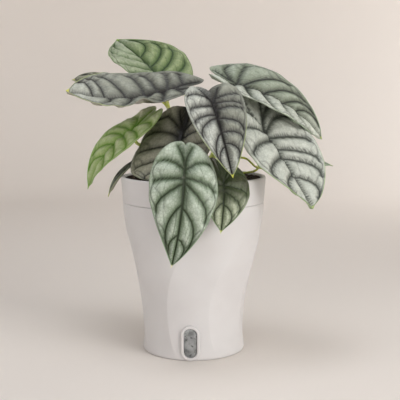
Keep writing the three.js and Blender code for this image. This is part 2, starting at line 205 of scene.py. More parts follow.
leaves = {
    "front": dict(
        usual, seat=(-2.3, -89.8, 176.4), aim=-95, pitch=-70, roll=-18, reach=81.6, lobe=34.8, notch=30.8,
        width=(31.3, 31.8), wideAt=0.07, spread=0.12, fullness=(1.2, 1.05), bend=38, backBend=18, sweep=4,
        twist=-13, backTwist=6, fold=(2, 6), curl=(-38, -38), root=(-92, 14), run=8,
        via=[(3, -36, 175), (2, -60, 176.8)], lobeVein=(0.4, 4), skin="oliveVeined",
        sideVeins=(((-0.1, -0.19), (0, 0.04), (0.06, 0.38), (0.28, 0.84), (0.62, 0.9)),
                   ((-0.09, -0.2), (-0.01, 0.11), (0.05, 0.45), (0.32, 0.8), (0.66, 0.9))),
    ),
    # The middle leaf's right half takes its skin's second tone: partly a real grey-purple tint, partly
    # painted shade.
    "middle": dict(
        usual, seat=(20.6, -47, 241.5), aim=-65, pitch=-50, roll=10, reach=77.5, lobe=20, notch=14,
        width=(26.5, 27.8), wideAt=0.02, spread=0.48, fullness=(0.88, 0.88), bend=16, backBend=26,
        twist=-7, backTwist=2, fold=(25, 24), curl=(-42, -32), root=(-72, 6.5), run=18,
        via=[(26, -12, 199)], lobeVein=(0.42, 1.2), tintAndPaintedLight=(0.1, 1, 0.45, 1.1), skin="purpleVeined",
        sideVeins=(((-0.03, -0.12), (0.05, 0.08), (0.18, 0.26), (0.22, 0.46), (0.42, 0.86), (0.6, 0.9)),
                   ((-0.04, -0.06), (0.02, 0.1), (0.1, 0.17), (0.23, 0.45), (0.42, 0.56), (0.56, 0.78))),
    ),
    # The small leaf lies under the middle leaf: the dark second tone over its upper part and the broad stain
    # round its seat are painted shade.
    "small": dict(
        usual, seat=(31.4, -69.1, 167.9), aim=-86, pitch=-65, roll=-16, reach=43.8, lobe=25.2, notch=20.2,
        width=(23.2, 24.2), wideAt=0.04, spread=0.35, fullness=(1.1, 1.1), bend=20, backBend=30,
        sweep=1.5, twist=-17, backTwist=10, fold=(24, 15), curl=(-20, -32), root=(-58, 14), run=7,
        slant=80, via=[(18, -38, 180)], lobeVein=(0.42, 2), tintAndPaintedLight=(1, 1, 0.0, 0.6), skin="shadedOlive",
        sideVeins=(((-0.1, -0.3), (-0.02, 0.12), (0.08, 0.5), (0.35, 0.84)),
                   ((-0.1, -0.3), (0, 0.15), (0.12, 0.55), (0.4, 0.86))),
    ),
    "right": dict(
        usual, seat=(70.2, -8.5, 210.7), aim=-43, pitch=-47, roll=-4, reach=88.0, lobe=46.5, notch=37.4,
        width=(41.5, 47.0), wideAt=0.21, spread=0.25, fullness=(0.95, 0.72), bend=3, backBend=-12,
        sweep=1, twist=-6, backTwist=3, fold=(21, 16), curl=(-45, 2), root=(-25, 14), run=14, stalk=0.6,
        via=[(46, 4, 171.8), (62, 6, 176.2)], lobeVein=(0.5, 1.4), skin="paleSilver",
        sideVeins=(((-0.2, -0.3), (0, -0.06), (0.1, 0.28), (0.33, 0.58), (0.56, 0.82)),
                   ((-0.14, -0.34), (0, -0.18), (0.05, 0.2), (0.2, 0.48), (0.33, 0.66), (0.58, 0.9))),
    ),
    "upper_right": dict(
        usual, seat=(45.9, 16.1, 256.7), aim=2, pitch=-14, roll=29, reach=103.2, lobe=34.4, notch=6.1,
        width=(33.9, 32.9), wideAt=0.1, spread=0.45, fullness=(0.6, 0.85), lobeShape=0.65, bend=46,
        backBend=-8, sweep=-4, twist=-10, backTwist=18, fold=(14, 21), curl=(0, -10), root=(-3, 6.5),
        run=40, tintAndPaintedLight=(0, 0.7, 0.45, 1.1), skin="greySilver",
        sideVeins=(((-0.06, -0.1), (0.05, 0.16), (0.22, 0.38), (0.42, 0.6), (0.6, 0.82)),
                   ((-0.09, -0.18), (-0.04, 0.01), (0.01, 0.42), (0.23, 0.64), (0.44, 0.77), (0.58, 0.88))),
    ),
    "shade": dict(
        usual, seat=(-11.5, -9.5, 208.3), aim=-102, pitch=-45, roll=9, reach=66, lobe=38, notch=35,
        width=(48, 38), wideAt=0.4, spread=0.22, fullness=(0.65, 0.65), bend=-15, backBend=-8, sweep=-2,
        twist=0, backTwist=0, fold=(8, 14), curl=(-28, -8), root=(-138, 6.5), run=16, lobeVein=(0.3, 2),
        tintAndPaintedLight=(0.6, 0.9, 0.45, 1.1), skin="shadedGrey",
        sideVeins=(((-0.1, -0.38), (0.03, -0.13), (0.17, 0.2), (0.45, 0.54), (0.65, 0.85)),
                   ((-0.08, -0.3), (0.06, -0.05), (0.22, 0.25), (0.45, 0.6), (0.65, 0.85))),
    ),
    # The far back lobe of green_left takes its skin's pale second tone: a painted highlight where the lobe
    # faces the light.
    "green_left": dict(
        usual, seat=(-62, 5, 214), aim=-158, pitch=-31, roll=-7, reach=73, lobe=36, notch=25,
        width=(28, 28), wideAt=0.06, spread=0.36, fullness=(1.15, 1.15), bend=46, backBend=-6, sweep=1,
        twist=12, backTwist=-5, fold=(17, 13), curl=(-22, -42), root=(179, 14), run=14,
        via=[(-23, 5, 187), (-38, 14, 199)], tintAndPaintedLight=(1, 0, -0.32, -0.1), skin="youngGreen",
        sideVeins=(((-0.05, -0.2), (0, 0.11), (0.12, 0.29), (0.3, 0.57), (0.5, 0.76)),
                   ((-0.05, -0.21), (-0.01, 0.04), (0.13, 0.27), (0.3, 0.52), (0.5, 0.74))),
    ),
    "long_left": dict(
        usual, seat=(-28, 4, 251.5), aim=192, pitch=-16, roll=-28, reach=97, lobe=41, notch=13,
        width=(36, 27), wideAt=0.48, spread=0.28, fullness=(0.8, 0.7), lobeShape=1.1, bend=-37,
        backBend=27, sweep=-1, twist=6, backTwist=8, fold=(19, 14), curl=(-12, 0), ripple=(0, 7),
        phase=0.32, root=(165, 6.5), run=6, via=[(-12, 19, 195), (-23, 27, 225), (-27, 19, 241)],
        tintAndPaintedLight=(1, 1, 0.45, 1.1), skin="purpleVeined",
        sideVeins=(((-0.2, -0.19), (-0.02, -0.06), (0.07, 0.17), (0.2, 0.32), (0.39, 0.64), (0.6, 0.76),
                    (0.72, 0.86)),
                   ((-0.12, -0.16), (0.02, 0.08), (0.16, 0.3), (0.34, 0.52), (0.54, 0.76))),
    ),
    "top_green": dict(
        usual, seat=(-42.8, 62, 269.9), aim=131, pitch=34, roll=-3, reach=80, lobe=31.5, notch=20,
        width=(42.2, 45), wideAt=0.15, spread=0.33, fullness=(1.15, 1.15), drip=1.5, bend=13, backBend=9,
        sweep=-2, twist=12, backTwist=-5, fold=(15, 14), curl=(3, -6), root=(100, 6.5), run=8,
        via=[(-4, 26, 200), (-6, 50, 238), (-20, 68, 254)], tintAndPaintedLight=(1, 0.4, 0.45, 1.1), skin="halfGreen",
        sideVeins=(((-0.16, 0.04), (-0.04, 0.36), (0.14, 0.58), (0.4, 0.84)),
                   ((-0.12, -0.1), (0.05, 0.12), (0.22, 0.5), (0.38, 0.8))),
    ),
    "left_back": dict(
        usual, seat=(-55, 37, 256), aim=204, pitch=15, roll=-18, reach=70, lobe=29, notch=18,
        width=(28, 32), wideAt=0.1, spread=0.39, fullness=(0.88, 0.88), bend=21, backBend=9, twist=16,
        backTwist=-7, fold=(9, 4), curl=(-40, -36), root=(146, 14), run=8,
        via=[(-16, 28, 200), (-32, 37, 240)], skin="shadedGrey",
        sideVeins=2 * (((-0.1, -0.2), (0, 0.1), (0.12, 0.35), (0.34, 0.64), (0.58, 0.84)),),
    ),
    "low_left": dict(
        usual, seat=(-46.2, 8.5, 188.1), aim=203, pitch=-14, roll=2, reach=58, lobe=14, notch=9,
        width=(11, 11), wideAt=0.07, spread=0.4, fullness=(1.1, 1.1), bend=60, backBend=10, twist=6,
        backTwist=-2, fold=(13, 11), curl=(-33, -30), root=(210, 14), run=10, tintAndPaintedLight=(1, 1, 0.45, 1.1),
        skin="purpleVeined",
        sideVeins=2 * (((-0.05, -0.1), (0.04, 0.15), (0.2, 0.4), (0.42, 0.68)),),
    ),
    "right_back": dict(
        usual, seat=(94, 17, 183), aim=-4.5, pitch=8, roll=8, reach=42.5, lobe=9, notch=6, width=(12, 12),
        wideAt=0.04, spread=0.38, fullness=(1.13, 1.13), bend=28, backBend=0, twist=-4, backTwist=1,
        fold=(10, 13), curl=(-30, -20), root=(15, 14), run=10, slant=75, stalk=0.6,
        via=[(32, 14, 185), (50.4, 19, 185.2), (55.8, 20.5, 181), (61, 21.5, 176.6)], skin="greySilver",
        sideVeins=2 * (((-0.05, -0.12), (0.03, 0.14), (0.18, 0.36), (0.38, 0.62), (0.6, 0.8)),),
    ),
}

# Sizes that all blades share, in millimetres where nothing else is said.
bladeForm = {
    "thickness": 0.55,  # at the margin
    "ribThickness": 0.7,  # extra along the midrib
    "ribReach": 2.2,  # and how far to the side that fades
    "veinThickness": 0.45,  # extra under the veins
    "fullReach": 80,  # blades shorter than this have lower relief
    "veinLean": 0.2,  # how far the grid's rows sweep towards the tip, as a share of the blade
    "leanStart": 0.35,  # and how much of that they do at once
    "dripDepth": 0.6,  # share by which the drip tip narrows
    "rippleCrest": 0.05,  # widths of a ripple's crest and hollow and the way between them, as shares
    "rippleHollow": 0.12,
    "rippleGap": 0.17,
    "flatMiddle": 4,  # distance from the midrib over which the face takes on the fold
    "quilt": 2.9,  # height of the swellings between veins
    "quiltReach": 4.4,  # distance from a vein at which a swelling has most of its height
    "centred": 0.5,  # share of that height that lies below the blade's smooth form
    "smallQuilt": 0.5,  # height of the swellings between fine veins
    "groove": 0.7,  # depth of a main vein below the surface
    "crease": 0.45,  # depth of a fine vein
    "pleat": 0.3,  # small pleats square to the side veins
    "pleatLength": 2.1,
    "pleatPlace": 2.2,  # distance from a vein at which they are highest
    "pleatSpread": 1.8,
    "pucker": 0.7,  # small crumples all over
    "puckerSize": 2.4,
    "crinkle": 1.1,  # height of the margin's small waves
    "mottleSize": 6,  # patches whose swellings are higher or lower
    "mottle": 0.2,  # by this share
    "settle": 3,  # distance from the margin over which all relief sets in
    "bodyRows": 108,
    "lobeRows": 26,
    "columns": 48,
}

# Sizes of the veins on a blade whose reach is usualReach. Widths are half widths in millimetres. A
# taper is the share of its width that a vein keeps at its end.
veinForm = {
    "usualReach": 85,
    "points": 18,  # along a side vein
    "ribEnd": 0.99,  # where the midrib ends, as a share of reach
    "ribTaper": 0.28,
    "lobeRun": 0.88,  # how far a back lobe's vein runs, as a share of lobe
    "lobeWidth": 0.85,  # its width as a share of the midrib's
    "lobeTaper": 0.45,
    "sideEnd": 0.88,  # share of the way to the margin at which side veins stop
    "sideWidth": 1.15,
    "sideTaper": 0.55,
    "sideThinning": 0.5,  # how much thinner side veins get towards the tip
    "waver": 0.25,  # how far side veins stray, in millimetres
    "marginWidth": 0.75,
    "loopWidth": 0.7,
    "linkWidth": 0.5,
    "links": (0.2, 0.38, 0.58),  # where links leave a side vein, as shares of it
    "twigs": (5, 8, 11, 14),  # points of a side vein at which twigs leave it
    "faint": (0.3, 0.7),  # strength of links and twigs
    "halo": 4,  # width of the darker band beside a vein, in widths of the vein. The band is partly the blade's own greener colour there and partly painted shade in the hollows by the sunken veins
}

# Finishes of the kinds of leaf. tintAndPaintedLight is the tone that some halves take on: a real tint on
# most leaves, painted shade on some and a painted highlight on green_left's far lobe, as each leaf says.
# deep lies beside the veins and along the margin. rib is the midrib's half width in millimetres. heart
# darkens the blade round its seat: heartWidth is half the width of that stain in millimetres, and
# heartBack gives where it begins behind the seat and where it has all its strength, as shares of reach.
# feather is the strength of the dark ticks square to the side veins.
usualSkin = dict(heartWidth=7, heartBack=(-0.6, -0.25))
skins = {
    "oliveVeined": dict(
        usualSkin, blade="#c6d1c3", deep="#556d49", vein="#1e2b10", tintAndPaintedLight="#33351f", margin="#86a07e",
        tip="#efebc0", underside="#9aa88a", rib=1.7, heart=0.55, feather=0.35,
    ),
    # Skin of the small leaf. Its dark second tone and its strong stain round the seat, reaching back between
    # the lobes, are painted shade.
    "shadedOlive": dict(
        blade="#d2dbc1", deep="#55643d", vein="#1e2910", tintAndPaintedLight="#38372a", margin="#7f9a70", tip="#c5cf7c",
        underside="#9aa88a", rib=1.7, heart=0.8, heartWidth=9, heartBack=(-0.9, -0.5), feather=0.35,
    ),
    "purpleVeined": dict(
        usualSkin, blade="#d8ddd4", deep="#6c6f68", vein="#211f1d", tintAndPaintedLight="#a3a799", margin="#a3b374",
        tip="#dade68", underside="#a8a29a", rib=1.9, heart=0.8, feather=0.45,
    ),
    "paleSilver": dict(
        usualSkin, blade="#d2d7cd", deep="#868c80", vein="#373a35", tintAndPaintedLight="#c6cfc8", margin="#93b36a",
        tip="#a9bd7c", underside="#9fab8f", rib=1.6, heart=0.12, feather=0.85,
    ),
    "greySilver": dict(
        usualSkin, blade="#dce1d6", deep="#6c7661", vein="#242822", tintAndPaintedLight="#93a18c", margin="#86a27a",
        tip="#a9b86a", underside="#a9b2a2", rib=1.6, heart=0.4, feather=0.6,
    ),
    # Skin of the leaves that lie under others. Its darker, browner tones and its near-black stain round the
    # seat, reaching back between the lobes, are partly the leaf's own colour and partly painted shade.
    "shadedGrey": dict(
        blade="#b6b8a2", deep="#5a5a4b", vein="#131210", tintAndPaintedLight="#929080", margin="#7d8670", tip="#b4b47c",
        underside="#8c957f", rib=2.2, heart=0.97, heartWidth=9, heartBack=(-1.3, -0.9), feather=0.3,
    ),
    # Skin of green_left. Its pale second tone is a painted highlight on the far back lobe.
    "youngGreen": dict(
        usualSkin, blade="#c2cca6", deep="#8fae55", vein="#5b8a26", tintAndPaintedLight="#dad8c4", margin="#8bb25a",
        tip="#9cbc58", underside="#94b36e", rib=1.8, heart=0.3, feather=0.2,
    ),
    "halfGreen": dict(
        usualSkin, blade="#bfc5b4", deep="#567040", vein="#2a3f1b", tintAndPaintedLight="#a0ad80", margin="#6f9a3c",
        tip="#8fb050", underside="#94b36e", rib=1.8, heart=0.3, feather=0.3,
    ),
}

# Tones laid over a blade's upper side, from the first to the last: the pattern that each one follows,
# the tone, the pattern's values where there is none of it and where there is most, and how much that
# is. Where that is a word, the skin gives it. Distances from the margin are in millimetres.
bladeTones = [
    # Second tone: a real tint on most leaves, painted shade on some, a painted highlight on green_left's far
    # lobe.
    ("tintAndPaintedLight", "tintAndPaintedLight", 0, 1, 1),
    ("spots", "deep", 0.7, 0.35, 0.32),  # soft patches
    ("net", "deep", 0.16, 0, 0.32),  # the finest veins
    ("halo", "deep", 0, 1, 0.85),  # beside the main veins: partly the blade's greener colour, partly painted shade in the hollows
    ("fine", "vein", 0, 1, 0.8),
    ("feather", "vein", 0, 1, "feather"),
    ("heart", "vein", 0, 1, "heart"),
    ("edge", "deep", 1.5, 0.3, 0.55),  # along the margin
    ("vein", "vein", 0.05, 0.85, 1),
]


# Directions of a blade at its seat: along the midrib, across it and up from it.
def bladeAxes(leaf):
    aim, pitch, roll = (radians(leaf[key]) for key in ("aim", "pitch", "roll"))
    along = np.array([cos(pitch) * cos(aim), cos(pitch) * sin(aim), sin(pitch)])
    across = np.array([sin(aim), -cos(aim), 0])
    up = np.cross(across, along)
    return along, across * cos(roll) - up * sin(roll), up * cos(roll) + across * sin(roll)


# Distance of the outline from the midrib at s, as margin and notch edge. In front of the widest place
# the margin is a sine raised to fullness, and it narrows to a drip tip. Behind it the margin is a
# quarter ellipse where lobeShape is a half, and blunter or sharper otherwise. The notch is always a
# quarter ellipse.
def outlineAt(leaf, half, s):
    width, reach, lobe, notch = leaf["width"][half], leaf["reach"], leaf["lobe"], leaf["notch"]
    widest, spread = leaf["wideAt"] * reach, leaf["spread"] * width
    ahead = np.clip((reach - s) / (reach - widest), 0, 1)
    behind = np.clip((widest - s) / (widest + lobe), 0, 1)
    drip = 1 - bladeForm["dripDepth"] * np.exp(-((reach - s) / leaf["drip"]) ** 2)
    front = width * np.sin(ahead * pi / 2) ** leaf["fullness"][half] * drip
    back = spread + (width - spread) * (1 - behind ** 2) ** leaf["lobeShape"]
    past = np.clip((-notch - s) / (lobe - notch), 0, 1)
    return np.where(s >= widest, front, back), spread * (1 - np.sqrt(1 - past ** 2))


# Flat place for u from lobe end to tip and v from the midrib or notch to the margin. Rows sweep
# towards the tip as side veins do: by a sine over u and by a quadratic over v.
def bladeFlat(leaf, half, u, v):
    length = leaf["reach"] + leaf["lobe"]
    sweep = v * (bladeForm["leanStart"] + (1 - bladeForm["leanStart"]) * v)
    lean = bladeForm["veinLean"] * length * np.sin(pi * u) * sweep
    s = np.clip(-leaf["lobe"] + u * length + lean, -leaf["lobe"], leaf["reach"])
    outer, inner = outlineAt(leaf, half, s)
    return s, inner + (outer - inner) * v, outer, inner


# The flat place carried onto the bent, twisted and folded blade. Gives the point and the upper face's
# direction there. The midrib is an arc, each half turns about it by its fold, and curl adds to that. A
# ripple is two bells over u, one up and one down, that grow with the square of the way out.
def bladePlace(leaf, half, u, s, t):
    form = bladeForm
    along, across, up = bladeAxes(leaf)
    side = 1 if half == 0 else -1
    ahead = s >= 0
    length = np.where(ahead, leaf["reach"], -leaf["lobe"])
    arc = np.where(ahead, radians(leaf["bend"]) or 1e-4, -radians(leaf["backBend"]) or 1e-4)
    angle = arc * s / length
    sweep = leaf["sweep"] * np.where(s > 0, s / leaf["reach"], 0) ** 2
    middle = np.array(leaf["seat"]) + along * (length / arc * np.sin(angle))[..., None]
    middle = middle - up * (length / arc * (1 - np.cos(angle)))[..., None] + across * sweep[..., None]
    lift = up * np.cos(angle)[..., None] + along * np.sin(angle)[..., None]
    turn = np.where(ahead, leaf["twist"] * s / leaf["reach"], -leaf["backTwist"] * s / leaf["lobe"])
    twist = np.radians(turn)[..., None]
    out = across * np.cos(twist) + lift * np.sin(twist)
    normal = lift * np.cos(twist) - across * np.sin(twist)
    share = t / leaf["width"][half]
    fold = np.radians(leaf["fold"][half] + 0.5 * leaf["curl"][half] * share)
    crest = np.exp(-((u - leaf["phase"]) / form["rippleCrest"]) ** 2)
    hollow = np.exp(-((u - leaf["phase"] + form["rippleGap"]) / form["rippleHollow"]) ** 2)
    wave = leaf["ripple"][half] * share ** 2 * (crest - hollow)
    point = middle + out * (side * t * np.cos(fold))[..., None]
    point = point + normal * (t * np.sin(fold) + wave)[..., None]
    tilt = np.radians(leaf["fold"][half] + leaf["curl"][half] * share)
    tilt = (tilt * np.clip(t / form["flatMiddle"], 0, 1))[..., None]
    return point, normal * np.cos(tilt) - out * side * np.sin(tilt)


# A path of (s, v) as flat (s, signed t), v being the share of the way out to the margin.
def flatPath(leaf, half, path):
    s, v = path.T
    outer, inner = outlineAt(leaf, half, s)
    return np.stack([s, (1 if half == 0 else -1) * (inner + (outer - inner) * v)], 1)


# A side vein as (s, v). v follows sin p and s a mix of sin p and 1 - cos p, so the vein leaves its parent
# nearly square, bends tipwards and ends along the margin. The further it runs forwards, the straighter
# it is. One that ends further back arches over the lobe and comes down again by the margin.
def sideVein(reach, start, end, first):
    p = np.linspace(0, pi / 2, veinForm["points"])
    room = veinForm["sideEnd"] - first
    if end < start:
        s = reach * (start + (end - start) * 1.12 * np.sin(1.3 * p))
        return np.stack([s, first + room * (0.5 * np.sin(p) + 0.5 * (1 - np.cos(p)))], 1)
    slope = min(0.55, 1.5 * (end - start))
    s = reach * (start + (end - start) * (slope * np.sin(p) + (1 - slope) * (1 - np.cos(p))))
    return np.stack([s, first + room * np.sin(p)], 1)


# All veins of a leaf in flat (s, signed t), each with its half width, taper and strength. Main ones are
# the midrib, a vein into each back lobe and the side veins. Fine ones are the vein that joins their ends
# along the margin, loops that leave them near there, links between neighbours and short twigs.
def leafVeins(leaf, seed):
    form = veinForm
    draw = np.random.default_rng(seed)
    reach, lobe = leaf["reach"], leaf["lobe"]
    scale = (reach / form["usualReach"]) ** 0.5
    rib = skins[leaf["skin"]]["rib"] * scale
    lobeEnd, power = leaf["lobeVein"]
    last = form["points"] - 1
    share = np.linspace(0, 1, last + 1)
    main = [(np.stack([share * reach * form["ribEnd"], 0 * share], 1), rib, form["ribTaper"], 1.0)]
    fine = []
    q = np.linspace(0, 1, 10)[:, None]
    for half in (0, 1):
        lobeLength = form["lobeRun"] * lobe
        path = np.stack([-lobeLength * share, lobeEnd * share ** power], 1)
        main.append((flatPath(leaf, half, path), form["lobeWidth"] * rib, form["lobeTaper"], 1.0))
        paths = []
        for start, end in leaf["sideVeins"][half]:
            first = lobeEnd * max(0, -start * reach / lobeLength) ** power
            path = sideVein(reach, start, end, first)
            path[1:-1, 0] += draw.normal(0, form["waver"], last - 1)
            paths.append(path)
            width = form["sideWidth"] * scale * (1 - form["sideThinning"] * max(0, start))
            main.append((flatPath(leaf, half, path), width, form["sideTaper"], 1.0))
        nearTip = np.full((last + 1, 2), (0.97 * reach, 0.85))
        for path, after in zip(paths, paths[1:] + [nearTip]):
            arc = path[-1] * (1 - q) + after[last - 2] * q
            arc[:, 1] += 0.05 * np.sin(pi * q[:, 0])
            fine.append((flatPath(leaf, half, arc), form["marginWidth"] * scale, 0.9, 0.85))
        for path, before in zip(paths[1:], paths):
            fork = draw.integers(9, 12)
            room = min(9, 0.7 * np.linalg.norm(path[fork, 0] - before[fork, 0]))
            outward = (0.9 - path[fork, 1]) * (1 - np.cos(pi / 2 * q))
            loop = path[fork] + np.hstack([-room * np.sin(pi / 2 * q), outward])
            strength = draw.uniform(0.6, 0.9)
            fine.append((flatPath(leaf, half, loop), form["loopWidth"] * scale, 0.8, strength))
            for where in form["links"]:
                first = int(last * (where + draw.uniform(-0.1, 0.1)))
                second = min(last, first + draw.integers(0, 4))
                part = q * draw.uniform(0.3, 1)
                link = before[first] * (1 - part) + path[second] * part
                link[:, 1] += draw.uniform(-0.12, 0.12) * np.sin(pi * part[:, 0])
                strength = draw.uniform(*form["faint"])
                fine.append((flatPath(leaf, half, link), form["linkWidth"], 0.6, strength))
        for path in paths:
            for first in form["twigs"]:
                twig = path[first] + [draw.uniform(-4, 6), draw.uniform(0.04, 0.16)] * q + [1.2, 0] * q ** 2
                strength = draw.uniform(*form["faint"])
                fine.append((flatPath(leaf, half, twig), form["linkWidth"], 0.3, strength))
    return main, fine


# What some veins do at flat points: the distance to the nearest one, the veins' colour, the darker
# band beside them and the length along the nearest. A vein narrows evenly from its first half width,
# and its colour is strength * exp(-(distance / half width)^2).
def veinField(points, veins):
    starts = np.concatenate([path[:-1] for path, *_ in veins])
    ends = np.concatenate([path[1:] for path, *_ in veins])
    widths, strengths, lengths = [], [], []
    for path, width, taper, strength in veins:
        share = np.linspace(0, 1, len(path) - 1)
        widths.append(width * (1 + (taper - 1) * share))
        strengths.append(np.full(len(path) - 1, strength))
        steps = np.linalg.norm(np.diff(path, axis=0), axis=1)
        lengths.append(np.cumsum(steps) - steps)
    width, strength, length = (np.concatenate(x) for x in (widths, strengths, lengths))
    step = ends - starts
    size = np.maximum((step ** 2).sum(1), 1e-9)
    near = np.full(len(points), 1e9)
    colour, halo, run = np.zeros(len(points)), np.zeros(len(points)), np.zeros(len(points))
    batch = 40  # pieces of vein that are measured at once, to save memory
    for k in range(0, len(starts), batch):
        some = slice(k, k + batch)
        gone = points[:, None] - starts[some]
        share = np.clip((gone * step[some]).sum(2) / size[some], 0, 1)
        distance = np.linalg.norm(gone - share[..., None] * step[some], axis=2)
        strong = strength[some] * np.exp(-(distance / width[some]) ** 2)
        colour = np.maximum(colour, strong.max(1))
        soft = strength[some] * np.exp(-(distance / (veinForm["halo"] * width[some])) ** 2)
        halo = np.maximum(halo, soft.max(1))
        best = distance.argmin(1)
        nearest = distance[np.arange(len(points)), best]
        closer = nearest < near
        there = length[some][best] + share[np.arange(len(points)), best] * size[some][best] ** 0.5
        run = np.where(closer, there, run)
        near = np.where(closer, nearest, near)
    return near, colour, halo, run


# Rows and columns of a blade's grid as u and v, closer together at the lobe ends, the tip, the midrib
# and the margin, and the u of the notch.
def bladeGrid(leaf, scale):
    notchRow = (leaf["lobe"] - leaf["notch"]) / (leaf["lobe"] + leaf["reach"])
    p = np.linspace(0, 1, int(bladeForm["bodyRows"] * scale ** 0.5))
    body = notchRow + (1 - notchRow) * (0.5 * p + 0.5 * np.sin(p * pi / 2))
    lobes = 1 - np.cos(np.linspace(0, pi / 2, bladeForm["lobeRows"], endpoint=False))
    j = np.linspace(0, 1, bladeForm["columns"])
    columns = 0.5 * j + 0.25 * (1 - np.cos(pi * j))
    u, v = np.meshgrid(np.concatenate([notchRow * lobes, body]), columns, indexing="ij")
    return u, v, notchRow


# One half of a blade: its upper face, its underside and the values that its tones follow. The relief
# is a sum. Between veins it swells as 1 - exp(-(distance / quiltReach)^2), with small swellings between
# fine veins, and there are pleats, creases, puckers and grooves. Noise crinkles the margin.
def bladeHalf(leaf, half, grid, veins, scale, seed):
    form, skin = bladeForm, skins[leaf["skin"]]
    side = 1 if half == 0 else -1
    u, v, notchRow = grid
    s, t, outer, inner = bladeFlat(leaf, half, u, v)
    point, face = bladePlace(leaf, half, u, s, t)
    flat = np.stack([s.ravel(), side * t.ravel()], 1)
    near, vein, halo, run = (x.reshape(u.shape) for x in veinField(flat, veins[0]))
    fineNear, fineVein, _, _ = (x.reshape(u.shape) for x in veinField(flat, veins[1]))
    edge = outer - t
    edge = np.where(u < notchRow, np.minimum(edge, t - inner), edge)
    settle = ease(edge, 0, form["settle"])

    mottle = wobble(s / form["mottleSize"] + 20, side * t / form["mottleSize"] + 20, seed)
    swell = 1 - np.exp(-(near / form["quiltReach"]) ** 2)
    wander = 0.35 * wobble(s / 3 + 30, t / 3 + 30, seed + 1)
    pleats = np.sin(2 * pi * (run / form["pleatLength"] + wander))
    pleats = pleats * np.exp(-((near - form["pleatPlace"]) / form["pleatSpread"]) ** 2)
    small = 1 - np.exp(-(fineNear / 2) ** 2)
    relief = form["quilt"] * (swell * (1 + form["mottle"] * mottle) - form["centred"])
    relief = relief + form["smallQuilt"] * small * swell
    relief = relief + form["pleat"] * pleats - form["crease"] * fineVein * ease(near, 0, 2)
    place = (s / form["puckerSize"] + 50, side * t / form["puckerSize"] + 50)
    puckers = 0.3 - np.abs(wobble(*place, seed + 3))
    relief = relief + form["pucker"] * puckers * ease(near, 0, 3) - form["groove"] * vein
    relief = relief * settle * scale
    share = t / leaf["width"][half]
    waves = wobble(u * 16 + 40, share * 2 + 9 * half, seed + 2)
    relief = relief + form["crinkle"] * scale * share ** 3 * waves
    top = point + face * relief[..., None]
    rib = form["ribThickness"] * np.exp(-(t / form["ribReach"]) ** 2) * np.sin(pi * u) ** 0.5
    thickness = form["thickness"] + rib + form["veinThickness"] * vein * settle * (u > notchRow)

    along = s / leaf["reach"]
    stain = np.exp(-(t / skin["heartWidth"]) ** 2)
    values = {
        "vein": vein, "halo": halo, "fine": fineVein, "edge": edge,
        "feather": np.clip(0.5 + pleats * 1.2, 0, 1) * np.exp(-((near - 1.5) / 2) ** 2),
        "heart": stain * (1 - ease(along, 0.05, 0.6)) * ease(along, *skin["heartBack"]),
        # Share of the second tone: a real tint, or painted shade or a painted highlight where the leaf's
        # entry says so.
        "tintAndPaintedLight": leaf["tintAndPaintedLight"][half] * (1 - ease(along, *leaf["tintAndPaintedLight"][2:])),
        "tip": ease(leaf["reach"] - s, 4, 2.5), "forward": ease(along, 0.1, 0.8),
    }
    return top, top - face * thickness[..., None], values


# A blade: two halves of one grid that share the midrib in front of the notch, each with an upper face,
# an underside and a wall between them along the margin and the notch.
def makeBlade(name, leaf, material, slotName, seed):
    scale = min(1, leaf["reach"] / bladeForm["fullReach"])
    grid = bladeGrid(leaf, scale)
    u = grid[0]
    veins = leafVeins(leaf, seed)
    pointSets, triangleSets, values = [], [], {}
    count = 0
    for half in (0, 1):
        top, under, stored = bladeHalf(leaf, half, grid, veins, scale, seed)
        for below, layer in ((0, top), (1, under)):
            pointSets.append(layer.reshape(-1, 3))
            for key, value in stored.items():
                values.setdefault(key, []).append(value.ravel())
            values.setdefault("below", []).append(np.full(u.size, float(below)))
        flip = half == 1
        triangleSets.append(gridTriangles(*u.shape, count, flip=flip))
        triangleSets.append(gridTriangles(*u.shape, count + u.size, flip=not flip))
        index = np.arange(u.size).reshape(u.shape) + count
        for column, last in ((-1, len(u)), (0, bladeForm["lobeRows"] + 1)):
            line = index[:last, column]
            a, b = line[:-1], line[1:]
            wall = np.concatenate([
                np.stack([a + u.size, b + u.size, a], 1), np.stack([a, b + u.size, b], 1)])
            triangleSets.append(wall if flip == (column == 0) else wall[:, ::-1])
        count += 2 * u.size
    values = {key: np.concatenate(parts) for key, parts in values.items()}
    makePiece("blade_" + name, np.concatenate(pointSets), np.concatenate(triangleSets), material, slotName,
              ["leaf_" + name], values)


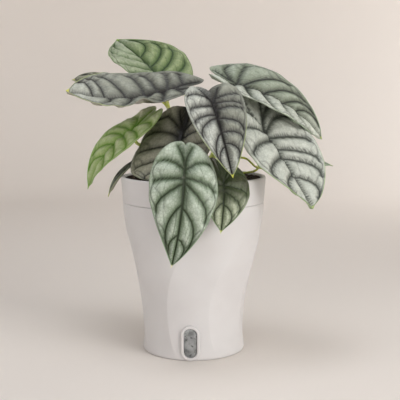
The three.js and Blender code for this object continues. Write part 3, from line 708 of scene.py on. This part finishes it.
# Alocasia leaf blade: stiff and thin, with a matt silvery bloom of air-filled cells over green. It gives
# the eye a soft metallic grey-green between sunken dark veins, and a paler, duller underside. The finest
# cells are drawn 2.6 mm wide, coarser than real ones, so that they show.
def leafBlade(name, skin):
    material, tree = newMaterial("alocasiaBlade_" + name)
    place = addNode(tree, "ShaderNodeTexCoord").outputs["Object"]
    grain = addNode(tree, "ShaderNodeTexNoise", None, {"Vector": place, "Scale": 1000 / 1.1, "Detail": 2.0})
    spots = addNode(tree, "ShaderNodeTexNoise", None, {"Vector": place, "Scale": 1000 / 5, "Detail": 3.0})
    cells = addNode(tree, "ShaderNodeTexVoronoi", {"feature": "DISTANCE_TO_EDGE"},
                    {"Vector": place, "Scale": 1000 / 2.6})
    patterns = {"spots": spots, "net": cells}
    colour = skin["blade"]
    for pattern, tone, none, full, most in bladeTones:
        most = skin.get(most, most)
        colour = toned(tree, colour, skin[tone], patterns.get(pattern, pattern), none, full, most)
    rimmed = toned(tree, colour, skin["margin"], "forward")
    colour = toned(tree, colour, rimmed, "edge", 0.9, 0.3)
    colour = toned(tree, colour, skin["tip"], "tip")
    ribbed = toned(tree, skin["underside"], skin["margin"], "vein", most=0.5)
    colour = toned(tree, colour, ribbed, "below")
    net = addNode(tree, "ShaderNodeMapRange", None, {"Value": cells, "From Min": 0.16, "From Max": 0.0})
    height = addNode(tree, "ShaderNodeMath", {"operation": "SUBTRACT"}, {0: grain, 1: net})
    bump = addNode(tree, "ShaderNodeBump", None, {"Strength": 0.4, "Distance": 0.0003, "Height": height})
    finishMaterial(tree, {
        "Base Color": colour, "Normal": bump, "Roughness": 0.38, "IOR": 1.5, "Specular IOR Level": 0.4})
    return material


for number, (name, leaf) in enumerate(leaves.items()):
    green = leaf["skin"] in ("youngGreen", "halfGreen")
    material = leafBlade(name, skins[leaf["skin"]])
    makeBlade(name, leaf, material, "green_leaf" if green else "silver_leaf", 40 + 7 * number)
print("leaf blades made:", len(leaves))


# Stems

stemForm = {
    "root": 2.5,  # radius at the crown
    "tip": 1.5,  # radius under the blade
    "depth": 12,  # how far a stem stands in the soil
    "soilHeight": 167.6,
    "clearance": 3.1,  # from a blade's smooth form to the stem's end, which stands in its underside
    "rings": 90,
    "sides": 24,
    "groove": 0.16,  # depth of the channel along one side, as a share of the radius
    "lumps": 0.03,  # unevenness, as a share of the radius
    "cap": 1 / 70,  # length of a rounded end, as a share of the stem
}


# Points of a centripetal Catmull-Rom curve through places, evenly spaced along it.
def smoothCurve(places, count):
    places = np.array(places, float)
    places = np.vstack([2 * places[0] - places[1], places, 2 * places[-1] - places[-2]])
    p = np.linspace(0, 1, 40)[:, None]
    parts = []
    for a, b, c, d in zip(places, places[1:], places[2:], places[3:]):
        before, step, after = (max(np.linalg.norm(y - x), 1e-6) ** 0.5 for x, y in ((a, b), (b, c), (c, d)))
        leaving = ((b - a) / before - (c - a) / (before + step) + (c - b) / step) * step
        arriving = ((c - b) / step - (d - b) / (step + after) + (d - c) / after) * step
        parts.append(b * (2 * p ** 3 - 3 * p ** 2 + 1) + c * (3 * p ** 2 - 2 * p ** 3)
                     + leaving * (p ** 3 - 2 * p ** 2 + p) + arriving * (p ** 3 - p ** 2))
    path = np.concatenate([parts[0]] + [part[1:] for part in parts[1:]])
    length = np.concatenate([[0], np.cumsum(np.linalg.norm(np.diff(path, axis=0), axis=1))])
    even = np.linspace(0, length[-1], count)
    return np.stack([np.interp(even, length, path[:, k]) for k in range(3)], 1)


# A stem's path: straight up through the soil, past its places and straight into the blade's underside.
def stemPath(leaf):
    along, _, up = bladeAxes(leaf)
    angle, radius = radians(leaf["root"][0]), leaf["root"][1]
    root = np.array([radius * cos(angle), radius * sin(angle), stemForm["soilHeight"]])
    foot = root - [0, 0, stemForm["depth"]]
    slant = radians(leaf["slant"])
    arrival = up * cos(slant) + along * sin(slant)
    gap = stemForm["clearance"] + leaf["stalk"] * stemForm["tip"] * sin(slant)
    end = np.array(leaf["seat"]) - up * gap
    before = end - arrival * leaf["run"]
    return smoothCurve([foot, root, *leaf["via"], before, end], stemForm["rings"])


# A round section carried along the path on frames that don't spin, thinner towards the blade, with a
# shallow channel on one side and rounded ends.
def makeStem(name, leaf, material, seed):
    path = stemPath(leaf)
    tangent = np.gradient(path, axis=0)
    tangent /= np.linalg.norm(tangent, axis=1)[:, None]
    side = np.cross(tangent[0], [0.3, 1, 0.1])
    sides = []
    for direction in tangent:
        side = side - direction * side.dot(direction)
        side = side / np.linalg.norm(side)
        sides.append(side)
    sides = np.array(sides)
    other = np.cross(tangent, sides)
    share = np.linspace(0, 1, len(path))
    radius = stemForm["root"] + (stemForm["tip"] - stemForm["root"]) * ease(share, 0, 1)
    radius = leaf["stalk"] * radius * (1 + stemForm["lumps"] * wobble(share * 14, share * 0, seed))
    cap = np.minimum(1, np.minimum(share, 1 - share) / stemForm["cap"])
    radius = radius * np.sqrt(1 - (1 - cap) ** 2)
    angle = np.linspace(0, 2 * pi, stemForm["sides"], endpoint=False)
    channel = 1 - stemForm["groove"] * np.exp(-(np.angle(np.exp(1j * (angle - 1))) / 0.5) ** 2)
    ring = radius[:, None, None] * channel[None, :, None]
    around = sides[:, None] * np.cos(angle)[:, None] + other[:, None] * np.sin(angle)[:, None]
    points = path[:, None] + ring * around
    triangles = gridTriangles(len(path), len(angle), wrap=True)
    makePiece("petiole_" + name, points.reshape(-1, 3), triangles, material, "leaf_stem", ["stem_" + name],
              {"height": np.repeat(share, len(angle))})


# Leaf stalk: smooth, juicy and round, pale yellow-green and pinkish brown near the soil. It gives a soft
# waxy gleam with faint streaks along it.
def leafStalk():
    material, tree = newMaterial("leafStalk")
    place = addNode(tree, "ShaderNodeTexCoord").outputs["Object"]
    stretched = addNode(tree, "ShaderNodeMapping", None, {"Vector": place, "Scale": (1, 1, 0.12)})
    streaks = addNode(tree, "ShaderNodeTexNoise", None, {"Vector": stretched, "Scale": 900, "Detail": 2.0})
    colour = toned(tree, "#e2f06c", "#f4f6b4", streaks, 0.35, 0.7)
    colour = toned(tree, colour, "#93795a", "height", 0.2, 0.05)
    finishMaterial(tree, {
        "Base Color": colour, "Roughness": 0.38, "IOR": 1.4,
        "Subsurface Weight": 0.4, "Subsurface Radius": (1, 1, 0.4), "Subsurface Scale": 0.003})
    return material


stalk = leafStalk()
for number, (name, leaf) in enumerate(leaves.items()):
    makeStem(name, leaf, stalk, 200 + number)
print("stems made:", len(leaves))


# Planter

planter = {
    "height": 170,
    "footRadius": 49.9,
    "shoulderRadius": 68.4,
    "rimRadius": 70,
    "seamHeight": 145.6,  # underside of the collar
    "collarFoot": 65.2,  # inside radius at the collar's foot
    "collarRise": 6,  # and its height above the seam
    "wall": 3.2,
    "linerWall": 1.8,
    "linerPlay": 1,
    "floor": 3,
    "linerFloor": 42,
    "wickFoot": 9.5,  # inside radius of the wicking foot at its end and at its mouth
    "wickMouth": 12.5,
    "swell": (22, 152),  # heights between which the pot widens
    "flutes": 8,
    "fluteDepth": 1.6,
    "fluteFoot": (1, 15),  # heights between which the flutes set in
    "fluteFade": (100, 142), # and run out
    "crest": -70.5,  # angle of one crest between flutes, where it bows furthest to the left
    "bow": 15.5,  # degrees by which a crest leaves that angle at bowReach from bowHeight
    "bowHeight": 43,
    "bowReach": 53,
    "straightFrom": 120,  # height above which crests run straight up
    "footLip": [(0, 1.9), (0.25, 1.1), (0.7, 0.55), (1.4, 0.2), (2.4, 0.04)],  # height and inset
    "seamLip": [(1, 0.03), (0.5, 0.15), (0.15, 0.45), (0, 0.5)],  # drop and inset
    "rimLip": [(1.6, 0.1), (0.4, 0.4), (0, 1.4), (0, 2.6), (0.4, 3.4), (1.6, 3.7)],  # the same
    "rings": 110,
    "columnsPerFlute": 44,
    "rimColumns": 256,
    "gap": 0.3,
}
window = {"width": 18, "height": 33.6, "centre": 17.1, "face": 50.8, "paneWidth": 12.4,
          "paneHeight": 28.2, "recess": 0.7, "thickness": 1.8, "depth": 5}


# Outside radius at a height: narrow foot, wide shoulder and a smooth swell between them.
def potRadius(z):
    foot, shoulder = planter["footRadius"], planter["shoulderRadius"]
    return foot + (shoulder - foot) * ease(z, *planter["swell"])


# Outer pot: rings over angle and height. The crests between its flutes bow to the left, and the flutes
# are arcs of a sine that fade out under the collar.
def makeOuterPot(material):
    top = planter["seamHeight"] - planter["gap"]
    outside = planter["footLip"] + [(z, 0) for z in np.linspace(3.4, top - 1.6, planter["rings"])]
    outside += [(top - drop, inset) for drop, inset in planter["seamLip"]]
    inside = [top, 118, 92, 62, 32, planter["floor"]]
    rows = [(z, potRadius(z) - inset, 1) for z, inset in outside]
    rows += [(z, potRadius(z) - planter["wall"], 0) for z in inside]
    z, radius, fluted = (np.array(x, float)[:, None] for x in zip(*rows))
    columns = planter["flutes"] * planter["columnsPerFlute"]
    k = np.arange(columns)[None]
    phase = (k % planter["columnsPerFlute"]) / planter["columnsPerFlute"]
    away = (np.minimum(z, planter["straightFrom"]) - planter["bowHeight"]) / planter["bowReach"]
    angle = np.radians(planter["crest"] + planter["bow"] * away ** 2 + 360 * k / columns)
    fade = ease(z, *planter["fluteFoot"]) * (1 - ease(z, *planter["fluteFade"]))
    r = radius - fluted * planter["fluteDepth"] * np.sin(pi * phase) * fade
    points = np.stack([r * np.cos(angle), r * np.sin(angle), z + 0 * r], -1).reshape(-1, 3)
    triangles = gridTriangles(len(rows), columns, wrap=True)
    first, last = np.arange(columns), np.arange(columns) + columns * (len(rows) - 1)
    base, floor = len(points), len(points) + 1
    points = np.vstack([points, [[0, 0, 0], [0, 0, planter["floor"]]]])
    under = np.stack([np.full(columns, base), np.roll(first, -1), first], 1)
    over = np.stack([np.full(columns, floor), last, np.roll(last, -1)], 1)
    piece = makePiece("planter_body", points, np.vstack([triangles, under, over]), material,
                      "planter_plastic", ["outer_pot"])
    half = window["paneWidth"] / 2
    front, back = window["face"] + window["depth"], window["face"] - 12
    hole = obroundBody(window["paneWidth"], window["paneHeight"],
                       [(half, back), (0, back), (0, front), (half, front)])
    cutter = makeObject("cutter", *hole)
    cut = piece.modifiers.new("opening", "BOOLEAN")
    cut.object, cut.operation, cut.solver = cutter, "DIFFERENCE", "EXACT"
    bpy.context.view_layer.update()
    made = bpy.data.meshes.new_from_object(piece.evaluated_get(bpy.context.evaluated_depsgraph_get()))
    piece.modifiers.clear()
    piece.data = made
    bpy.data.objects.remove(cutter)


# Outline of an upright obround as (x, z): two straight sides and two half circles.
def obroundLine(width, height, count=40):
    radius = width / 2
    angle = np.linspace(0, pi, count)
    x = np.concatenate([radius * np.cos(angle), -radius * np.cos(angle)])
    z = np.concatenate([radius * np.sin(angle), -radius * np.sin(angle)])
    straight = np.repeat([height / 2 - radius, radius - height / 2], count)
    return x, z + straight + window["centre"]


# A body of obround rings along Y, each with its inset from the outline and its depth.
def obroundBody(width, height, rings):
    lines = []
    for inset, depth in rings:
        x, z = obroundLine(width - 2 * inset, height - 2 * inset)
        lines.append(np.stack([x, np.full(len(x), -depth), z], 1))
    return np.concatenate(lines), gridTriangles(len(lines), len(lines[0]), wrap=True)


# Raised frame round the window: rings from behind the wall out to its face, over the rounded lip and
# back down beside the pane.
def makeFrame(material):
    border = (window["width"] - window["paneWidth"]) / 2
    outer, inner = 1.0, 0.8  # radii of the lip's edges
    face, behind = window["face"], window["face"] - window["depth"]
    lip = [(1 - cos(a), sin(a)) for a in np.linspace(0, pi / 2, 7)]
    outerLip = [(outer * x, face - outer + outer * y) for x, y in lip]
    innerLip = [(border - inner * x, face - inner + inner * y) for x, y in reversed(lip)]
    body = obroundBody(window["width"], window["height"],
                       [(0, behind), *outerLip, *innerLip, (border, behind), (0, behind)])
    makePiece("window_frame", *body, material, "planter_plastic")


# Pane: a flat obround with a rounded front edge.
def makePane(material):
    front = window["face"] - window["recess"]
    play = 2 * planter["gap"]
    half = (window["paneWidth"] - play) / 2
    edge = [(0, front - window["thickness"]), (0, front - 0.3), (0.1, front - 0.08), (0.35, front)]
    body = obroundBody(window["paneWidth"] - play, window["paneHeight"] - play,
                       [(half, front - window["thickness"]), *edge, (half, front)])
    makePiece("level_pane", *body, material, "window_plastic", ["level_window"])


def linerRadius(z):
    return potRadius(z) - planter["wall"] - planter["linerPlay"]


# The liner's inside profile from under the collar down to the bottom of its wicking foot.
def linerInside(clearance):
    floor = planter["linerFloor"] + planter["linerWall"] + clearance
    foot = planter["floor"] + planter["gap"] + planter["linerWall"] + clearance
    walls = [(linerRadius(z) - planter["linerWall"] - clearance, z) for z in (138, 110, 80, floor)]
    walls += [(planter["wickMouth"] - clearance, floor), (planter["wickFoot"] - clearance, foot)]
    return walls + [(0, foot)]


# Liner and collar: one profile turned about the pot's axis, with its lip and corners rounded.
def makeLiner(material):
    foot, seam, top = planter["floor"] + planter["gap"], planter["seamHeight"], planter["height"]
    wick = [(planter["wickFoot"] + planter["linerWall"], foot),
            (planter["wickMouth"] + planter["linerWall"], planter["linerFloor"])]
    walls = [(linerRadius(z), z) for z in (planter["linerFloor"], 80, 110, 138, seam)]
    collar = [(planter["shoulderRadius"] - 0.6, seam), (planter["shoulderRadius"] - 0.1, seam + 0.3)]
    collar += [(planter["rimRadius"] - inset, top - drop) for drop, inset in planter["rimLip"]]
    collar.append((planter["collarFoot"], seam + planter["collarRise"]))
    profile = [(0, foot)] + wick + walls + collar + linerInside(0)
    points, triangles = turned(rounded(profile, 0.9), planter["rimColumns"])
    makePiece("planter_liner", points, triangles, material, "planter_plastic", ["inner_pot"])


# Polypropylene, injection moulded: opaque white with a faint warm cast. It gives a satin surface with
# wide soft gleams and a very fine orange-peel from the mould.
def whitePolypropylene():
    material, tree = newMaterial("whitePolypropylene")
    place = addNode(tree, "ShaderNodeTexCoord").outputs["Object"]
    cloud = addNode(tree, "ShaderNodeTexNoise", None, {"Vector": place, "Scale": 1000 / 45, "Detail": 2.0})
    peel = addNode(tree, "ShaderNodeTexNoise", None, {"Vector": place, "Scale": 1000 / 1.6, "Detail": 2.0})
    bump = addNode(tree, "ShaderNodeBump", None, {"Strength": 0.1, "Distance": 0.0002, "Height": peel})
    finishMaterial(tree, {
        "Base Color": toned(tree, "#d4d2d2", "#dad9d9", cloud, 0.3, 0.7),
        "Normal": bump, "Roughness": 0.4, "IOR": 1.49,
        "Subsurface Weight": 0.06, "Subsurface Radius": (1, 0.9, 0.8), "Subsurface Scale": 0.002})
    return material


# Polystyrene, clear and polished, over the dark wet reservoir. The pane is drawn opaque: its smoky grey
# is painted shade of the reservoir behind it, with pale and dark blotches of what lies there and darker
# towards the bottom, and its face gives sharp reflections.
def clearPolystyrene():
    material, tree = newMaterial("clearPolystyrene")
    place = addNode(tree, "ShaderNodeTexCoord").outputs["Object"]
    height = addNode(tree, "ShaderNodeSeparateXYZ", None, {0: place}).outputs["Z"]
    blotch = addNode(tree, "ShaderNodeTexNoise", None, {"Vector": place, "Scale": 1000 / 8, "Detail": 3.0})
    drops = addNode(tree, "ShaderNodeTexNoise", None, {"Vector": place, "Scale": 1000 / 3.4, "Detail": 2.0})
    # Painted shade of the reservoir seen through the pane, in blotches, darker towards the bottom.
    colour = toned(tree, "#6f7273", "#a7aaaa", blotch, 0.36, 0.66)
    colour = toned(tree, colour, "#55585a", height, 0.018, 0.007, 0.35)
    colour = toned(tree, colour, "#4c4e50", drops, 0.56, 0.68)
    finishMaterial(tree, {"Base Color": colour, "Roughness": 0.12, "IOR": 1.59})
    return material


plastic = whitePolypropylene()
makeOuterPot(plastic)
makeFrame(plastic)
makePane(clearPolystyrene())
makeLiner(plastic)
print("planter made")


# Potting mix

mix = {
    "height": 167.6,
    "edge": 65.7,  # radius at the top
    "wallEdge": 64.9,  # radius below the liner's rim
    "mound": 1.0,  # rise towards the crown
    "rings": 80,
    "columns": 260,
    "lumps": 1.3,  # height of its unevenness
    "chips": 900,
    "chipSizes": (0.7, 2.3),
    "chipMargin": 3.2,  # how far chips stay from the liner
    "paleShare": 0.05,  # chips that are perlite or light bark
}


# Height of the potting mix at (x, y): a slight mound at the crown with lumps of three sizes.
def mixHeight(x, y):
    mound = mix["mound"] * np.exp(-((x ** 2 + y ** 2) / 1500))
    lumps = 0.55 * wobble(x / 9 + 20, y / 9 + 20, 5) + 0.3 * wobble(x / 3.5 + 30, y / 3.5 + 30, 6)
    return mix["height"] + mound + mix["lumps"] * (lumps + 0.22 * wobble(x / 1.4 + 90, y / 1.4 + 90, 7))


# The mix fills the liner: rings over angle and radius for its lumpy top, then the liner's inside
# profile down to the bottom of the foot.
def makeMix(material):
    angle = np.linspace(0, 2 * pi, mix["columns"], endpoint=False)
    shoulder = planter["seamHeight"] + planter["collarRise"]
    walls = [(mix["wallEdge"], shoulder)] + linerInside(planter["gap"])
    radius = np.array([mix["edge"] * r for r in np.linspace(0, 1, mix["rings"])] + [r for r, _ in walls])
    x, y = np.outer(radius, np.cos(angle)), np.outer(radius, np.sin(angle))
    z = mixHeight(x, y)
    z[mix["rings"]:] = np.array([height for _, height in walls])[:, None]
    points = np.stack([x, y, z], -1).reshape(-1, 3)
    triangles = gridTriangles(len(radius), mix["columns"], wrap=True, flip=True)
    tone = 0.5 + 0.3 * wobble(x / 2.2 + 70, y / 2.2 + 70, 9)
    makePiece("potting_mix", points, triangles, material, "potting_mix", ["soil"],
              {"tone": tone.reshape(-1)})


# Bark and perlite chips: one icosahedron, stretched, turned and lumped at random for each chip.
def makeChips(material):
    draw = np.random.default_rng(11)
    count = mix["chips"]
    golden = (1 + 5 ** 0.5) / 2
    corners = np.array([(x, y * golden, 0) for x in (-1, 1) for y in (-1, 1)], float)
    corners = np.vstack([corners, corners[:, [2, 0, 1]], corners[:, [1, 2, 0]]]) / golden
    gaps = np.linalg.norm(corners[:, None] - corners[None], axis=2)
    edge = gaps[gaps > 0].min() * 1.01
    faces = [(a, b, c) for a in range(12) for b in range(a + 1, 12) for c in range(b + 1, 12)
             if max(gaps[a, b], gaps[b, c], gaps[a, c]) < edge]
    outward = [np.dot(np.cross(corners[b] - corners[a], corners[c] - corners[a]), corners[a]) > 0
               for a, b, c in faces]
    faces = np.array([(a, b, c) if out else (a, c, b) for (a, b, c), out in zip(faces, outward)])
    size = draw.uniform(*mix["chipSizes"], count)
    width, depth = draw.uniform(0.4, 0.9, count), draw.uniform(0.25, 0.6, count)
    stretch = np.stack([size, size * width, size * depth], 1)
    lumps = draw.uniform(0.75, 1.2, (count, 12, 1))
    turns = np.linalg.qr(draw.normal(size=(count, 3, 3)))[0]
    turns[:, :, 0] *= np.sign(np.linalg.det(turns))[:, None]
    radius = (mix["edge"] - mix["chipMargin"]) * np.sqrt(draw.uniform(0, 1, count))
    angle = draw.uniform(0, 2 * pi, count)
    x, y = radius * np.cos(angle), radius * np.sin(angle)
    centre = np.stack([x, y, mixHeight(x, y) + 0.2 * size], 1)
    body = corners[None] * lumps * stretch[:, None] * 0.55
    points = np.einsum("cij,ckj->cki", turns, body) + centre[:, None]
    triangles = (faces[None] + 12 * np.arange(count)[:, None, None]).reshape(-1, 3)
    tone = np.where(draw.uniform(0, 1, count) < mix["paleShare"], 1.6, draw.uniform(0, 1, count))
    makePiece("mix_chips", points.reshape(-1, 3), triangles, material, "potting_mix", (),
              {"tone": np.repeat(tone, 12)})


# Peat and bark potting mix: damp, crumbly and nearly black, with brown fibres and a few pale chips. It
# gives the eye a rough dark bed with no gleam.
def pottingMix():
    material, tree = newMaterial("barkPottingMix")
    place = addNode(tree, "ShaderNodeTexCoord").outputs["Object"]
    grains = addNode(tree, "ShaderNodeTexNoise", None, {"Vector": place, "Scale": 1000 / 1.3, "Detail": 3.0})
    colour = toned(tree, "#1d1715", "#4a3a33", "tone", 0.15, 0.9)
    colour = toned(tree, colour, "#5d4a41", grains, 0.5, 0.75)
    colour = toned(tree, colour, "#a89c90", "tone", 1.2, 1.5)
    bump = addNode(tree, "ShaderNodeBump", None, {"Strength": 0.8, "Distance": 0.0008, "Height": grains})
    finishMaterial(tree, {"Base Color": colour, "Normal": bump, "Roughness": 0.9, "IOR": 1.4})
    return material


peat = pottingMix()
makeMix(peat)
makeChips(peat)
print("potting mix made")


# Stage, light and camera

stage = {
    "flat": 1150,  # radius of the level floor, in millimetres
    "bend": 450,  # radius of the sweep up to the wall
    "wall": 1500,  # height that the sweep reaches
    "drop": 0.05,  # how far the floor lies below the planter's foot
    "colour": "#ebe5df",
}

# Square lamps, with their places and sizes in metres and their power in watts.
lamps = {
    "keyLamp": {"place": (1.08, -0.92, 0.6), "size": 0.8, "power": 11.2, "colour": "#fffefd"},
    "fillLamp": {"place": (-0.6, -1.1, 0.55), "size": 0.7, "power": 2.7, "colour": "#f8faff"},
    "topLamp": {"place": (-0.1, -0.1, 1.3), "size": 0.6, "power": 4.3, "colour": "#fafcff"},
    "wallLamp": {"place": (1.05, 1.1, 0.65), "size": 0.3, "power": 5.5, "colour": "#fffefd",
                 "target": (0.85, 1.6, 0.4)},
}

# Light from the pale room around.
sky = {"colour": "#f6f6f8", "strength": 0.28}

# Where the camera stands, in metres and degrees from straight down and from facing along Y.
view = {
    "place": (0.0505, -0.8425, 0.2535),
    "tilt": 82.74,
    "turn": 3,
    "frame": 400,  # width of the photo in pixels
    "focus": 875,  # pixels that a metre takes up at one metre away
}


# Floor and backdrop: a wide dish turned about Z, level in the middle and swept up all round.
def makeStage():
    bend = [(stage["flat"] + stage["bend"] * sin(a), stage["bend"] * (1 - cos(a)))
            for a in np.linspace(0, pi / 2, 24)]
    profile = [(0, 0), (200, 0), (600, 0)] + bend + [(stage["flat"] + stage["bend"], stage["wall"])]
    points, triangles = turned([(r, z - stage["drop"]) for r, z in profile], 128)
    material, tree = newMaterial("mattePaperSweep")
    finishMaterial(tree, {"Base Color": stage["colour"], "Roughness": 0.9, "Specular IOR Level": 0.1})
    floor = makeObject("floor", points, triangles[:, ::-1])
    floor.data.materials.append(material)


# A lamp turned to face its target, or the middle of the plant.
def addLamp(name, place, size, power, colour, target=(0, 0, 0.17)):
    light = bpy.data.lights.new(name, "AREA")
    light.size = size
    light.energy = power
    light.color = linear(colour)[:3]
    lamp = bpy.data.objects.new(name, light)
    lamp.location = place
    direction = lamp.location - type(lamp.location)(target)
    lamp.rotation_euler = direction.to_track_quat("Z", "Y").to_euler()
    lamp.visible_camera = False
    bpy.context.scene.collection.objects.link(lamp)


def addSky():
    world = bpy.data.worlds.new("paleRoom")
    world.use_nodes = True
    background = world.node_tree.nodes["Background"]
    background.inputs["Color"].default_value = linear(sky["colour"])
    background.inputs["Strength"].default_value = sky["strength"]
    bpy.context.scene.world = world


def addCamera():
    camera = bpy.data.cameras.new("camera")
    camera.lens = camera.sensor_width * view["focus"] / view["frame"]
    holder = bpy.data.objects.new("camera", camera)
    holder.location = view["place"]
    holder.rotation_euler = (radians(view["tilt"]), 0, radians(view["turn"]))
    bpy.context.scene.collection.objects.link(holder)
    bpy.context.scene.camera = holder


makeStage()
for name, lamp in lamps.items():
    addLamp(name, **lamp)
addSky()
addCamera()
bpy.context.scene.view_settings.view_transform = "Standard"
print("stage, lamps and camera made")
